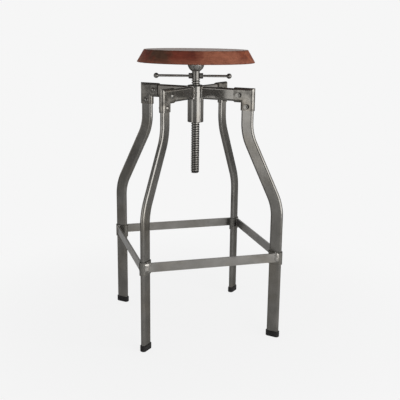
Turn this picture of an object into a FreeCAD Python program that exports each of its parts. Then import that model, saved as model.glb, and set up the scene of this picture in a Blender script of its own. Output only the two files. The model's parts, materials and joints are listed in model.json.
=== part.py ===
import FreeCAD, Part
import math
import os
import Sketcher

# Screw-lift bar stool, millimetres, +Z up, origin on the floor under the spindle axis.
# The legs stand on the diagonals and the footrest bars run along X and Y.

doc = FreeCAD.newDocument("bar_stool")
sheet = doc.addObject("Spreadsheet::Sheet", "Sizes")

# Driving sizes
DRIVING = [
    ("seat_radius", 165),
    ("seat_top_radius", 144.5),
    ("seat_thickness", 34.5),
    ("seat_edge", 1.4),
    ("well_gap", 4.3),
    ("well_headroom", 2),
    ("plate_radius", 55),
    ("plate_thickness", 4),
    ("plate_screw_circle", 42),
    ("wood_screw_radius", 1.95),
    ("wood_screw_head", 5.1),
    ("wood_screw_length", 17.25),
    ("dome_radius", 23.5),
    ("dome_wall", 3),
    ("race_thickness", 2.5),
    ("ball_radius", 2.2),
    ("cage_gap", 0.8),
    ("cage_wall", 0.5),
    ("cage_thickness", 2.2),
    ("neck_radius", 11),
    ("neck_above", 24.2),
    ("neck_below", 2.5),
    ("neck_taper", 1),
    ("spigot_radius", 7.5),
    ("spigot_height", 25.5),
    ("spigot_proud", 1),
    ("spigot_nut_wall", 4.9),
    ("screw_radius", 11.75),
    ("screw_chamfer", 1.5),
    ("thread_length", 265),
    ("handle_rise", 24.8),
    ("handle_angle", -15.3),
    ("handle_long_end", 111),
    ("handle_short_end", 93),
    ("rod_radius", 3.5),
    ("knob_radius", 7.4),
    ("knob_depth", 5),
    ("flat_cut", 0.6),
    ("flat_margin", 0.5),
    ("handle_nut_thickness", 10),
    ("handle_nut_corner", 7.8),
    ("hub_radius", 22.5),
    ("hub_height", 104),
    ("hub_above", 3.5),
    ("hub_chamfer", 3.5),
    ("hub_edge", 1),
    ("bush_radius", 17),
    ("bush_inset", 2),
    ("tube_depth", 35),
    ("tube_width", 12.8),
    ("tube_wall", 1.8),
    ("tube_nose", 0.8),
    ("leg_top_radius", 163),
    ("leg_foot_radius", 260.5),
    ("upper_drop", 105),
    ("lower_bend", 383),
    ("bend_radius", 130),
    ("arm_level", 678),
    ("sleeve_wall", 2.5),
    ("elbow_length", 40),
    ("elbow_drop", 41),
    ("bolt_radius", 3.9),
    ("bolt_head_ball", 9),
    ("bolt_head_angle", 35),
    ("bolt_nut_corner", 7.5),
    ("bolt_nut_thickness", 5.5),
    ("bolt_end", 2),
    ("arm_bolt_edge", 15.5),
    ("leg_bolt_edge", 11),
    ("collar_bottom", 217.5),
    ("collar_height", 36),
    ("bar_outset", 13.8),
    ("bar_thickness", 5),
    ("bar_rise", 8.1),
    ("bar_height", 25.2),
    ("foot_wall", 2.3),
    ("foot_height", 16),
    ("foot_floor", 5),
    ("foot_round", 2.2),
    ("slip", 0.15),
    ("close_fit", 0.05),
    ("turning_gap", 0.3),
]

# Sizes that follow from the driving ones
DERIVED = [
    ("tube_half", "=tube_depth / 2"),
    ("web_half", "=tube_width / 2"),
    ("tube_corner", "=web_half - tube_nose / 2"),
    ("hub_top", "=arm_level + tube_half + hub_above"),
    ("hub_bottom", "=hub_top - hub_height"),
    ("handle_level", "=hub_top + handle_rise"),
    ("thread_top", "=handle_level - handle_nut_corner - flat_margin - neck_below"),
    ("screw_bottom", "=thread_top - thread_length"),
    ("flat_depth", "=neck_radius - flat_cut"),
    ("shoulder_level", "=handle_level + neck_above"),
    ("ball_gap", "=2 * ball_radius + 2 * close_fit"),
    ("ball_circle", "=spigot_radius + cage_gap + cage_wall + slip + ball_radius"),
    ("race_radius", "=ball_circle + ball_radius + slip + cage_wall"),
    ("plate_level", "=shoulder_level + 2 * race_thickness + ball_gap"),
    ("seat_level", "=plate_level + plate_thickness"),
    ("spigot_top", "=shoulder_level + spigot_height"),
    ("well_radius", "=race_radius + well_gap"),
    ("upper_bend", "=arm_level - upper_drop"),
    ("elbow_reach", "=leg_top_radius - elbow_length"),
    ("elbow_bottom", "=arm_level - elbow_drop"),
    ("arm_bolt", "=elbow_reach + arm_bolt_edge"),
    ("leg_bolt", "=elbow_bottom + leg_bolt_edge"),
    ("bar_face", "=leg_foot_radius / sqrt(2) + bar_outset"),
    ("bar_bottom", "=collar_bottom + bar_rise"),
    ("bore_half", "=tube_half - tube_wall"),
    ("bore_web", "=web_half - tube_wall"),
    ("bore_corner", "=tube_corner - tube_wall"),
    ("socket_half", "=tube_half + slip"),
    ("socket_web", "=web_half + slip"),
    ("socket_corner", "=tube_corner + slip"),
    ("sleeve_half", "=socket_half + sleeve_wall"),
    ("sleeve_web", "=socket_web + sleeve_wall"),
    ("sleeve_corner", "=socket_corner + sleeve_wall"),
    ("cap_half", "=socket_half + foot_wall"),
    ("cap_web", "=socket_web + foot_wall"),
    ("cap_corner", "=socket_corner + foot_wall"),
    ("leg_ceiling", "=arm_level + socket_half"),
    ("bar_miter", "=sleeve_web * sqrt(2)"),
]

row = 0
for alias, value in DRIVING + DERIVED:
    row = row + 1
    sheet.set("A%d" % row, alias)
    sheet.set("B%d" % row, str(value))
    sheet.setAlias("B%d" % row, alias)
doc.recompute()

PARTS = []
Z_AXIS = FreeCAD.Vector(0, 0, 1)
LEGS = [("back_right", 45), ("back_left", 135), ("front_left", 225), ("front_right", 315)]
SIDES = [("front", 0), ("right", 90), ("back", 180), ("left", 270)]


# A size by its name in the sheet
def size(alias):
    return "Sizes." + alias


# What that size is now, for starting places that the constraints then hold
def amount(alias):
    return float(sheet.get(alias))


# An empty solid body that is exported under its own label
def new_body(label, turn=0):
    body = doc.addObject("PartDesign::Body", label)
    body.Label = label
    body.Placement = FreeCAD.Placement(FreeCAD.Vector(0, 0, 0), FreeCAD.Rotation(Z_AXIS, turn))
    PARTS.append(body)
    return body


# A sketch on one of the body's own planes, lifted along the plane's normal where asked
def new_sketch(body, role, lift=None):
    sketch = body.newObject("Sketcher::SketchObject", body.Name + "_sketch")
    plane = [f for f in body.Origin.OriginFeatures if f.Role == role][0]
    sketch.AttachmentSupport = (plane, [""])
    sketch.MapMode = "FlatFace"
    if lift is not None:
        sketch.setExpression("AttachmentOffset.Base.z", lift)
    return sketch


# Hold one sketch value to a size
def hold(sketch, kind, args, value):
    index = sketch.addConstraint(Sketcher.Constraint(kind, *args))
    name = "c%d" % index
    sketch.renameConstraint(index, name)
    sketch.setExpression("Constraints." + name, value)


# Hold a point of the sketch to a place given by two sizes
def hold_point(sketch, geo, end, across, up):
    place = sketch.getPoint(geo, end)
    if across == "0":
        sketch.addConstraint(Sketcher.Constraint("PointOnObject", geo, end, -2))
    else:
        hold(sketch, "DistanceX", (-1, 1, geo, end, place.x), across)
    if up == "0":
        sketch.addConstraint(Sketcher.Constraint("PointOnObject", geo, end, -1))
    else:
        hold(sketch, "DistanceY", (-1, 1, geo, end, place.y), up)


# A closed outline of straight lines through points given by sizes
def outline(sketch, corners):
    count = len(corners)
    ring = []
    for i in range(count):
        swing = 2 * math.pi * i / count
        ring.append(FreeCAD.Vector(90 + 60 * math.cos(swing), 90 + 60 * math.sin(swing), 0))
    for i in range(count):
        sketch.addGeometry(Part.LineSegment(ring[i], ring[(i + 1) % count]))
    for i in range(count):
        sketch.addConstraint(Sketcher.Constraint("Coincident", i, 2, (i + 1) % count, 1))
    for i in range(count):
        hold_point(sketch, i, 1, corners[i][0], corners[i][1])


# A rounded rectangle about a centre that starts near the given place
def rounded_box(sketch, near, centre, half_across, half_up, corner):
    first = sketch.GeometryCount
    x, y = near
    a, b, r = 12.0, 12.0, 3.0
    spots = [
        ((x - a + r, y - b), (x + a - r, y - b)),
        ((x + a, y - b + r), (x + a, y + b - r)),
        ((x + a - r, y + b), (x - a + r, y + b)),
        ((x - a, y + b - r), (x - a, y - b + r)),
    ]
    rounds = [((x + a - r, y - b + r), -90), ((x + a - r, y + b - r), 0),
              ((x - a + r, y + b - r), 90), ((x - a + r, y - b + r), 180)]
    for start, stop in spots:
        sketch.addGeometry(Part.LineSegment(FreeCAD.Vector(*start, 0), FreeCAD.Vector(*stop, 0)))
    for middle, begin in rounds:
        ring = Part.Circle(FreeCAD.Vector(*middle, 0), Z_AXIS, r)
        arc = Part.ArcOfCircle(ring, math.radians(begin), math.radians(begin + 90))
        sketch.addGeometry(arc)
    for i in range(4):
        sketch.addConstraint(Sketcher.Constraint("Tangent", first + i, 2, first + 4 + i, 1))
        sketch.addConstraint(Sketcher.Constraint("Tangent", first + 4 + i, 2, first + (i + 1) % 4, 1))
    for i in (0, 2):
        sketch.addConstraint(Sketcher.Constraint("Horizontal", first + i))
        sketch.addConstraint(Sketcher.Constraint("Vertical", first + i + 1))
    for i in range(1, 4):
        sketch.addConstraint(Sketcher.Constraint("Equal", first + 4, first + 4 + i))
    middle_x, middle_y = centre
    hold(sketch, "Radius", (first + 4, r), corner)
    hold(sketch, "DistanceX", (-1, 1, first + 1, 1, x + a), middle_x + " + " + half_across)
    hold(sketch, "DistanceX", (-1, 1, first + 3, 1, x - a), middle_x + " - " + half_across)
    hold(sketch, "DistanceY", (-1, 1, first + 2, 1, y + b), middle_y + " + " + half_up)
    hold(sketch, "DistanceY", (-1, 1, first, 1, y - b), middle_y + " - " + half_up)


# A circle held by its centre and radius
def ring(sketch, across, up, radius):
    index = sketch.addGeometry(Part.Circle(FreeCAD.Vector(20, 20, 0), Z_AXIS, 3))
    hold_point(sketch, index, 3, across, up)
    hold(sketch, "Radius", (index, 3), radius)


# Pad a sketch by a size, to one side or to both alike
def pad(body, sketch, length, both=False):
    feature = body.newObject("PartDesign::Pad", body.Name + "_pad")
    feature.Profile = sketch
    feature.setExpression("Length", length)
    if both:
        feature.SideType = "Symmetric"
    return feature


# Cut a sketch through the whole body, both ways
def cut_through(body, sketch):
    feature = body.newObject("PartDesign::Pocket", body.Name + "_cut")
    feature.Profile = sketch
    feature.Type = "ThroughAll"
    feature.SideType = "Symmetric"
    return feature


# Cut a sketch to a depth along its plane's normal
def cut_ahead(body, sketch, depth):
    feature = body.newObject("PartDesign::Pocket", body.Name + "_cut")
    feature.Profile = sketch
    feature.Type = "Length"
    feature.setExpression("Length", depth)
    feature.Reversed = True
    return feature


# Round the edges of a feature that meet a test
def round_edges(body, base, test, radius):
    doc.recompute()
    names = []
    for i, edge in enumerate(base.Shape.Edges):
        if test(edge):
            names.append("Edge%d" % (i + 1))
    feature = body.newObject("PartDesign::Fillet", body.Name + "_round")
    feature.Base = (base, names)
    feature.setExpression("Radius", radius)
    return feature


# A turned piece from its half section, radius and height
def turned(label, corners, turn=0):
    body = new_body(label, turn)
    sketch = new_sketch(body, "XZ_Plane")
    outline(sketch, corners)
    feature = body.newObject("PartDesign::Revolution", body.Name + "_turn")
    feature.Profile = sketch
    feature.ReferenceAxis = (sketch, ["V_Axis"])
    feature.Angle = 360
    return body


# A flat ring between two radii and two heights
def washer(label, inner, outer, low, high, turn=0):
    return turned(label, [(inner, low), (outer, low), (outer, high), (inner, high)], turn)


# Several alike solids gathered as one piece
def group(label, members):
    feature = doc.addObject("Part::Compound", label)
    feature.Label = label
    feature.Links = members
    PARTS.append(feature)
    return feature


# A plain cylinder with its size held to the sheet
def rod(name, radius, length):
    feature = doc.addObject("Part::Cylinder", name)
    feature.setExpression("Radius", radius)
    feature.setExpression("Height", length)
    return feature


# Seat: a bevelled wooden disc, wide face down, with a well for the spigot nut and screw pilots
seat = turned("seat_disc", [
    ("0", size("spigot_top") + " + " + size("well_headroom")),
    (size("well_radius"), size("spigot_top") + " + " + size("well_headroom")),
    (size("well_radius"), size("seat_level")),
    (size("seat_radius"), size("seat_level")),
    (size("seat_top_radius"), size("seat_level") + " + " + size("seat_thickness")),
    ("0", size("seat_level") + " + " + size("seat_thickness")),
])


# The two outer rims of the seat
def seat_rim(edge):
    if edge.Curve.TypeId != "Part::GeomCircle":
        return False
    return edge.Curve.Radius > amount("well_radius") + 1


round_edges(seat, seat.Tip, seat_rim, size("seat_edge"))
sketch = new_sketch(seat, "XY_Plane", size("seat_level"))
SCREW_SPOTS = [(1, 1), (-1, 1), (-1, -1), (1, -1)]
for across, up in SCREW_SPOTS:
    reach = size("plate_screw_circle") + " * sqrt(0.5)"
    ring(sketch, ("%d * " % across) + reach, ("%d * " % up) + reach,
         size("wood_screw_radius") + " + " + size("close_fit"))
cut_ahead(seat, sketch, size("wood_screw_length"))

# Mounting plate under the seat
plate = washer("seat_plate", size("spigot_radius") + " + 2 * " + size("close_fit"),
               size("plate_radius"), size("plate_level"), size("seat_level"))
sketch = new_sketch(plate, "XY_Plane", size("seat_level"))
for across, up in SCREW_SPOTS:
    reach = size("plate_screw_circle") + " * sqrt(0.5)"
    ring(sketch, ("%d * " % across) + reach, ("%d * " % up) + reach,
         size("wood_screw_radius") + " + 2 * " + size("slip"))
cut_through(plate, sketch)

# Wood screws: a domed head under the plate and a shank up into the seat
screws = []
for number, (across, up) in enumerate(SCREW_SPOTS):
    shank = rod("wood_shank_%d" % number, size("wood_screw_radius"), size("wood_screw_length"))
    head = doc.addObject("Part::Sphere", "wood_head_%d" % number)
    head.setExpression("Radius", size("wood_screw_head"))
    head.Angle1 = -90
    head.setExpression("Angle2", "-1 * " + size("bolt_head_angle"))
    head.setExpression("Placement.Base.z", "Radius * sin(" + size("bolt_head_angle") + ")")
    screw = doc.addObject("Part::MultiFuse", "wood_screw_%d" % number)
    screw.Shapes = [shank, head]
    screw.setExpression("Placement.Base.x", ("%d * " % across) + size("plate_screw_circle") + " * sqrt(0.5)")
    screw.setExpression("Placement.Base.y", ("%d * " % up) + size("plate_screw_circle") + " * sqrt(0.5)")
    screw.setExpression("Placement.Base.z", size("plate_level"))
    screws.append(screw)
group("seat_screws", screws)

# Half-ball dome that covers the swivel bearing
outer = doc.addObject("Part::Sphere", "dome_outer")
outer.setExpression("Radius", size("dome_radius"))
inner = doc.addObject("Part::Sphere", "dome_inner")
inner.setExpression("Radius", size("dome_radius") + " - " + size("dome_wall"))
for half_ball in (outer, inner):
    half_ball.Angle1 = -90
    half_ball.Angle2 = 0
opening = rod("dome_opening", size("neck_radius") + " + " + size("turning_gap"), size("dome_radius"))
opening.setExpression("Placement.Base.z", "-1 * " + size("dome_radius"))
tools = doc.addObject("Part::MultiFuse", "dome_hollow")
tools.Shapes = [inner, opening]
dome = doc.addObject("Part::Cut", "swivel_dome")
dome.Label = "swivel_dome"
dome.Base = outer
dome.Tool = tools
dome.setExpression("Placement.Base.z", size("plate_level"))
PARTS.append(dome)

# Thrust bearing: two races, a cage and its balls
washer("bearing_upper_race", size("spigot_radius") + " + " + size("turning_gap"), size("race_radius"),
       size("plate_level") + " - " + size("race_thickness"), size("plate_level"))
washer("bearing_lower_race", size("spigot_radius") + " + " + size("close_fit"), size("race_radius"),
       size("shoulder_level"), size("shoulder_level") + " + " + size("race_thickness"))
ball_level = size("plate_level") + " - " + size("race_thickness") + " - " + size("ball_gap") + " / 2"
cage = washer("bearing_cage", size("spigot_radius") + " + " + size("cage_gap"), size("race_radius"),
              ball_level + " - " + size("cage_thickness") + " / 2",
              ball_level + " + " + size("cage_thickness") + " / 2")
BALLS = 9
sketch = new_sketch(cage, "XY_Plane", ball_level)
for number in range(BALLS):
    turn = 360 * number / BALLS
    ring(sketch, size("ball_circle") + " * cos(%g)" % turn, size("ball_circle") + " * sin(%g)" % turn,
         size("ball_radius") + " + " + size("slip"))
cut_through(cage, sketch)
balls = []
for number in range(BALLS):
    turn = 360 * number / BALLS
    ball = doc.addObject("Part::Sphere", "ball_%d" % number)
    ball.setExpression("Radius", size("ball_radius"))
    ball.setExpression("Placement.Base.x", size("ball_circle") + " * cos(%g)" % turn)
    ball.setExpression("Placement.Base.y", size("ball_circle") + " * sin(%g)" % turn)
    ball.setExpression("Placement.Base.z", ball_level)
    balls.append(ball)
group("bearing_balls", balls)

# Lifting screw: threaded length, plain neck with two flats and a cross hole, spigot for the swivel
spindle = turned("lift_screw", [
    ("0", size("screw_bottom")),
    (size("screw_radius") + " - " + size("screw_chamfer"), size("screw_bottom")),
    (size("screw_radius"), size("screw_bottom") + " + " + size("screw_chamfer")),
    (size("screw_radius"), size("thread_top")),
    (size("neck_radius"), size("thread_top") + " + " + size("neck_taper")),
    (size("neck_radius"), size("shoulder_level")),
    (size("spigot_radius"), size("shoulder_level")),
    (size("spigot_radius"), size("spigot_top")),
    ("0", size("spigot_top")),
])
spindle.setExpression("Placement.Rotation.Angle", size("handle_angle"))
sketch = new_sketch(spindle, "YZ_Plane")
ring(sketch, "0", size("handle_level"), size("rod_radius") + " + " + size("close_fit"))
cut_through(spindle, sketch)
for side in (1, -1):
    sketch = new_sketch(spindle, "XZ_Plane")
    low = size("handle_level") + " - " + size("handle_nut_corner") + " - " + size("flat_margin")
    high = size("handle_level") + " + " + size("handle_nut_corner") + " + " + size("flat_margin")
    near = ("%d * " % side) + size("flat_depth")
    far = ("%d * 2 * " % side) + size("flat_depth")
    outline(sketch, [(near, low), (far, low), (far, high), (near, high)])
    cut_through(spindle, sketch)

# Washer and nut that keep the seat on the spigot
gap_level = size("seat_level") + " + " + size("turning_gap")
washer("spigot_washer", size("spigot_radius") + " + " + size("close_fit"), size("race_radius"),
       gap_level, gap_level + " + " + size("race_thickness"))
prism = doc.addObject("Part::Prism", "spigot_hexagon")
prism.Polygon = 6
prism.setExpression("Circumradius", size("spigot_radius") + " + " + size("spigot_nut_wall"))
prism.setExpression("Height", size("spigot_top") + " - " + size("spigot_proud") + " - (" + gap_level + " + "
                    + size("race_thickness") + ")")
well = rod("spigot_nut_bore", size("spigot_radius") + " + " + size("close_fit"), size("spigot_height"))
nut = doc.addObject("Part::Cut", "spigot_nut")
nut.Label = "spigot_nut"
nut.Base = prism
nut.Tool = well
nut.setExpression("Placement.Base.z", gap_level + " + " + size("race_thickness"))
PARTS.append(nut)


# Lay a piece of the handle along the cross hole, starting at a distance from the axis
def along_handle(feature, start, flip):
    turn = FreeCAD.Rotation(FreeCAD.Vector(0, 1, 0), 90)
    swing = FreeCAD.Rotation(Z_AXIS, amount("handle_angle") + flip)
    feature.Placement = FreeCAD.Placement(FreeCAD.Vector(0, 0, 0), swing.multiply(turn))
    facing = " * cos(" + size("handle_angle") + " + %d)" % flip
    sideways = " * sin(" + size("handle_angle") + " + %d)" % flip
    feature.setExpression("Placement.Base.x", "(" + start + ")" + facing)
    feature.setExpression("Placement.Base.y", "(" + start + ")" + sideways)
    feature.setExpression("Placement.Base.z", size("handle_level"))


# Handle: a cross rod, its two clamping nuts and the two ball ends
bar = rod("handle_rod", size("rod_radius"), size("handle_long_end") + " + " + size("handle_short_end")
          + " - 2 * (" + size("knob_radius") + " - " + size("knob_depth") + ")")
bar.Label = "handle_rod"
along_handle(bar, size("handle_long_end") + " - " + size("knob_radius") + " + " + size("knob_depth"), 180)
bar.Placement = FreeCAD.Placement(bar.Placement.Base, FreeCAD.Rotation(Z_AXIS, amount("handle_angle"))
                                  .multiply(FreeCAD.Rotation(FreeCAD.Vector(0, 1, 0), 90)))
PARTS.append(bar)
for side, flip, reach in (("left", 180, "handle_long_end"), ("right", 0, "handle_short_end")):
    hexagon = doc.addObject("Part::Prism", "handle_hexagon_" + side)
    hexagon.Polygon = 6
    hexagon.setExpression("Circumradius", size("handle_nut_corner"))
    hexagon.setExpression("Height", size("handle_nut_thickness"))
    bore = rod("handle_nut_bore_" + side, size("rod_radius") + " + " + size("close_fit"),
               size("handle_nut_thickness"))
    nut = doc.addObject("Part::Cut", "handle_nut_" + side)
    nut.Label = "handle_nut_" + side
    nut.Base = hexagon
    nut.Tool = bore
    along_handle(nut, size("flat_depth"), flip)
    PARTS.append(nut)
    ball = doc.addObject("Part::Sphere", "knob_ball_" + side)
    ball.setExpression("Radius", size("knob_radius"))
    bore = rod("knob_bore_" + side, size("rod_radius") + " + " + size("close_fit"), size("knob_depth"))
    bore.setExpression("Placement.Base.z", "-1 * " + size("knob_radius"))
    knob = doc.addObject("Part::Cut", "handle_ball_" + side)
    knob.Label = "handle_ball_" + side
    knob.Base = ball
    knob.Tool = bore
    along_handle(knob, size(reach), flip)
    PARTS.append(knob)

# Hub sleeve and the threaded bush inside it
turned("hub_sleeve", [
    (size("bush_radius") + " + " + size("close_fit"), size("hub_bottom")),
    (size("hub_radius") + " - " + size("hub_edge"), size("hub_bottom")),
    (size("hub_radius"), size("hub_bottom") + " + " + size("hub_edge")),
    (size("hub_radius"), size("hub_top") + " - " + size("hub_chamfer")),
    (size("hub_radius") + " - " + size("hub_chamfer"), size("hub_top")),
    (size("bush_radius") + " + " + size("close_fit"), size("hub_top")),
])
washer("screw_bush", size("screw_radius") + " + " + size("close_fit"), size("bush_radius"),
       size("hub_bottom") + " + " + size("bush_inset"), size("hub_top") + " - " + size("bush_inset"))

# Frame pieces that repeat on the four diagonals
bolts = []
nuts = []
for corner, turn in LEGS:
    # Arm: a tube on edge, coped to the hub at its inner end
    arm = new_body("arm_" + corner, turn)
    sketch = new_sketch(arm, "YZ_Plane")
    near = (0, amount("arm_level"))
    rounded_box(sketch, near, ("0", size("arm_level")), size("web_half"), size("tube_half"),
                size("tube_corner"))
    rounded_box(sketch, near, ("0", size("arm_level")), size("bore_web"), size("bore_half"),
                size("bore_corner"))
    pad(arm, sketch, size("leg_top_radius") + " - " + size("socket_half"))
    sketch = new_sketch(arm, "XY_Plane")
    ring(sketch, "0", "0", size("hub_radius"))
    cut_through(arm, sketch)
    sketch = new_sketch(arm, "XZ_Plane")
    ring(sketch, size("arm_bolt"), size("arm_level"), size("bolt_radius") + " + " + size("slip"))
    cut_through(arm, sketch)

    # Leg: the same tube drawn along an S-bend from the foot to the elbow
    leg = new_body("leg_" + corner, turn)
    path = new_sketch(leg, "XZ_Plane")
    foot, top = amount("leg_foot_radius"), amount("leg_top_radius")
    low, high, curve = amount("lower_bend"), amount("upper_bend"), amount("bend_radius")
    bend = math.atan2(foot - top, high - low)
    soft = curve * math.tan(bend / 2)
    lean = FreeCAD.Vector(top - foot, high - low, 0).normalize()
    knee = FreeCAD.Vector(foot, low, 0)
    hip = FreeCAD.Vector(top, high, 0)
    rise = FreeCAD.Vector(0, soft, 0)
    stops = [FreeCAD.Vector(foot, amount("foot_floor"), 0), knee - rise, knee + lean * soft,
             hip - lean * soft, hip + rise, FreeCAD.Vector(top, amount("leg_ceiling"), 0)]
    for first, last in ((0, 1), (2, 3), (4, 5)):
        path.addGeometry(Part.LineSegment(stops[first], stops[last]))
    below = Part.Circle(FreeCAD.Vector(foot - curve, low - soft, 0), Z_AXIS, curve)
    above = Part.Circle(FreeCAD.Vector(top + curve, high + soft, 0), Z_AXIS, curve)
    path.addGeometry(Part.ArcOfCircle(below, 0, bend))
    path.addGeometry(Part.ArcOfCircle(above, math.pi, math.pi + bend))
    path.addConstraint(Sketcher.Constraint("Tangent", 0, 2, 3, 1))
    path.addConstraint(Sketcher.Constraint("Tangent", 3, 2, 1, 1))
    path.addConstraint(Sketcher.Constraint("Tangent", 1, 2, 4, 2))
    path.addConstraint(Sketcher.Constraint("Tangent", 4, 1, 2, 1))
    path.addConstraint(Sketcher.Constraint("Vertical", 0))
    path.addConstraint(Sketcher.Constraint("Vertical", 2))
    path.addConstraint(Sketcher.Constraint("Equal", 3, 4))
    hold(path, "Radius", (3, curve), size("bend_radius"))
    hold_point(path, 0, 1, size("leg_foot_radius"), size("foot_floor"))
    hold_point(path, 2, 2, size("leg_top_radius"), size("leg_ceiling"))
    # The slanting line runs through both bend corners
    spot = path.addGeometry(Part.Point(knee), True)
    hold_point(path, spot, 1, size("leg_foot_radius"), size("lower_bend"))
    path.addConstraint(Sketcher.Constraint("PointOnObject", spot, 1, 1))
    spot = path.addGeometry(Part.Point(hip), True)
    hold_point(path, spot, 1, size("leg_top_radius"), size("upper_bend"))
    path.addConstraint(Sketcher.Constraint("PointOnObject", spot, 1, 1))
    section = new_sketch(leg, "XY_Plane", size("foot_floor"))
    near = (foot, 0)
    rounded_box(section, near, (size("leg_foot_radius"), "0"), size("tube_half"), size("web_half"),
                size("tube_corner"))
    rounded_box(section, near, (size("leg_foot_radius"), "0"), size("bore_half"), size("bore_web"),
                size("bore_corner"))
    pipe = leg.newObject("PartDesign::AdditivePipe", leg.Name + "_pipe")
    pipe.Profile = section
    pipe.Spine = (path, [])
    sketch = new_sketch(leg, "XZ_Plane")
    ring(sketch, size("leg_top_radius"), size("leg_bolt"), size("bolt_radius") + " + " + size("slip"))
    cut_through(leg, sketch)

    # Elbow: a closed corner sleeve that takes the arm from inside and the leg from below
    elbow = new_body("elbow_" + corner, turn)
    sketch = new_sketch(elbow, "XZ_Plane")
    outer_face = size("leg_top_radius") + " + " + size("sleeve_half")
    inner_face = size("leg_top_radius") + " - " + size("sleeve_half")
    roof = size("arm_level") + " + " + size("sleeve_half")
    under = size("arm_level") + " - " + size("sleeve_half")
    outline(sketch, [
        (size("elbow_reach"), under),
        (inner_face, under),
        (inner_face, size("elbow_bottom")),
        (outer_face, size("elbow_bottom")),
        (outer_face, roof),
        (size("elbow_reach"), roof),
    ])
    block = pad(elbow, sketch, "2 * " + size("sleeve_web"), both=True)
    half_width = amount("sleeve_web")
    reach = amount("elbow_reach")
    bottom = amount("elbow_bottom")

    # Long edges of the sleeve, not the edges of its two mouths
    def sleeve_edge(edge):
        ends = [v.Point for v in edge.Vertexes]
        if all(abs(p.x - reach) < 0.01 for p in ends):
            return False
        if all(abs(p.z - bottom) < 0.01 for p in ends):
            return False
        if all(abs(p.y - half_width) < 0.01 for p in ends):
            return True
        return all(abs(p.y + half_width) < 0.01 for p in ends)

    round_edges(elbow, block, sleeve_edge, size("sleeve_corner"))
    sketch = new_sketch(elbow, "YZ_Plane")
    rounded_box(sketch, (0, amount("arm_level")), ("0", size("arm_level")), size("socket_web"),
                size("socket_half"), size("socket_corner"))
    cut_ahead(elbow, sketch, size("leg_top_radius"))
    sketch = new_sketch(elbow, "XY_Plane", size("elbow_bottom"))
    rounded_box(sketch, (top, 0), (size("leg_top_radius"), "0"), size("socket_half"), size("socket_web"),
                size("socket_corner"))
    cut_ahead(elbow, sketch, size("leg_ceiling") + " - " + size("elbow_bottom"))
    sketch = new_sketch(elbow, "XZ_Plane")
    ring(sketch, size("arm_bolt"), size("arm_level"), size("bolt_radius") + " + " + size("slip"))
    ring(sketch, size("leg_top_radius"), size("leg_bolt"), size("bolt_radius") + " + " + size("slip"))
    cut_through(elbow, sketch)

    # Through bolts of this elbow, domed heads on one side and nuts on the other
    for place, radius, level in (("arm", "arm_bolt", "arm_level"), ("leg", "leg_top_radius", "leg_bolt")):
        tag = place + "_" + corner
        shank = rod("bolt_shank_" + tag, size("bolt_radius"),
                    "2 * " + size("sleeve_web") + " + " + size("bolt_nut_thickness") + " + " + size("bolt_end"))
        shank.Placement = FreeCAD.Placement(FreeCAD.Vector(0, 0, 0), FreeCAD.Rotation(FreeCAD.Vector(1, 0, 0), 180))
        head = doc.addObject("Part::Sphere", "bolt_head_" + tag)
        head.setExpression("Radius", size("bolt_head_ball"))
        head.setExpression("Angle1", size("bolt_head_angle"))
        head.Angle2 = 90
        head.setExpression("Placement.Base.z", "-1 * Radius * sin(" + size("bolt_head_angle") + ")")
        bolt = doc.addObject("Part::MultiFuse", "bolt_" + tag)
        bolt.Shapes = [shank, head]
        hexagon = doc.addObject("Part::Prism", "nut_hexagon_" + tag)
        hexagon.Polygon = 6
        hexagon.setExpression("Circumradius", size("bolt_nut_corner"))
        hexagon.setExpression("Height", size("bolt_nut_thickness"))
        bore = rod("nut_bore_" + tag, size("bolt_radius") + " + " + size("close_fit"), size("bolt_nut_thickness"))
        nut = doc.addObject("Part::Cut", "nut_" + tag)
        nut.Base = hexagon
        nut.Tool = bore
        # The bolt axis lies across the leg, so local Z turns to the leg's tangent
        across = FreeCAD.Rotation(Z_AXIS, turn).multiply(FreeCAD.Rotation(FreeCAD.Vector(1, 0, 0), -90))
        for feature, side in ((bolt, "+"), (nut, "-")):
            facing = size("sleeve_web") if side == "+" else "-1 * (" + size("sleeve_web") + " + " \
                + size("bolt_nut_thickness") + ")"
            feature.Placement = FreeCAD.Placement(FreeCAD.Vector(0, 0, 0), across)
            feature.setExpression("Placement.Base.x", "%s * cos(%d) - (%s) * sin(%d)"
                                  % (size(radius), turn, facing, turn))
            feature.setExpression("Placement.Base.y", "%s * sin(%d) + (%s) * cos(%d)"
                                  % (size(radius), turn, facing, turn))
            feature.setExpression("Placement.Base.z", size(level))
        bolts.append(bolt)
        nuts.append(nut)

    # Collar: a short sleeve round the leg that carries two footrest bars
    collar = new_body("collar_" + corner, turn)
    sketch = new_sketch(collar, "XY_Plane", size("collar_bottom"))
    rounded_box(sketch, near, (size("leg_foot_radius"), "0"), size("sleeve_half"), size("sleeve_web"),
                size("sleeve_corner"))
    rounded_box(sketch, near, (size("leg_foot_radius"), "0"), size("socket_half"), size("socket_web"),
                size("socket_corner"))
    pad(collar, sketch, size("collar_height"))

    # Foot: a rubber cap over the end of the leg
    cap = new_body("foot_cap_" + corner, turn)
    sketch = new_sketch(cap, "XY_Plane")
    rounded_box(sketch, near, (size("leg_foot_radius"), "0"), size("cap_half"), size("cap_web"),
                size("cap_corner"))
    block = pad(cap, sketch, size("foot_height"))
    block = round_edges(cap, block, lambda edge: edge.BoundBox.ZMax < 0.01, size("foot_round"))
    sketch = new_sketch(cap, "XY_Plane", size("foot_floor"))
    rounded_box(sketch, near, (size("leg_foot_radius"), "0"), size("socket_half"), size("socket_web"),
                size("socket_corner"))
    cut_ahead(cap, sketch, size("foot_height"))

group("elbow_bolts", bolts)
group("elbow_nuts", nuts)

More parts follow.
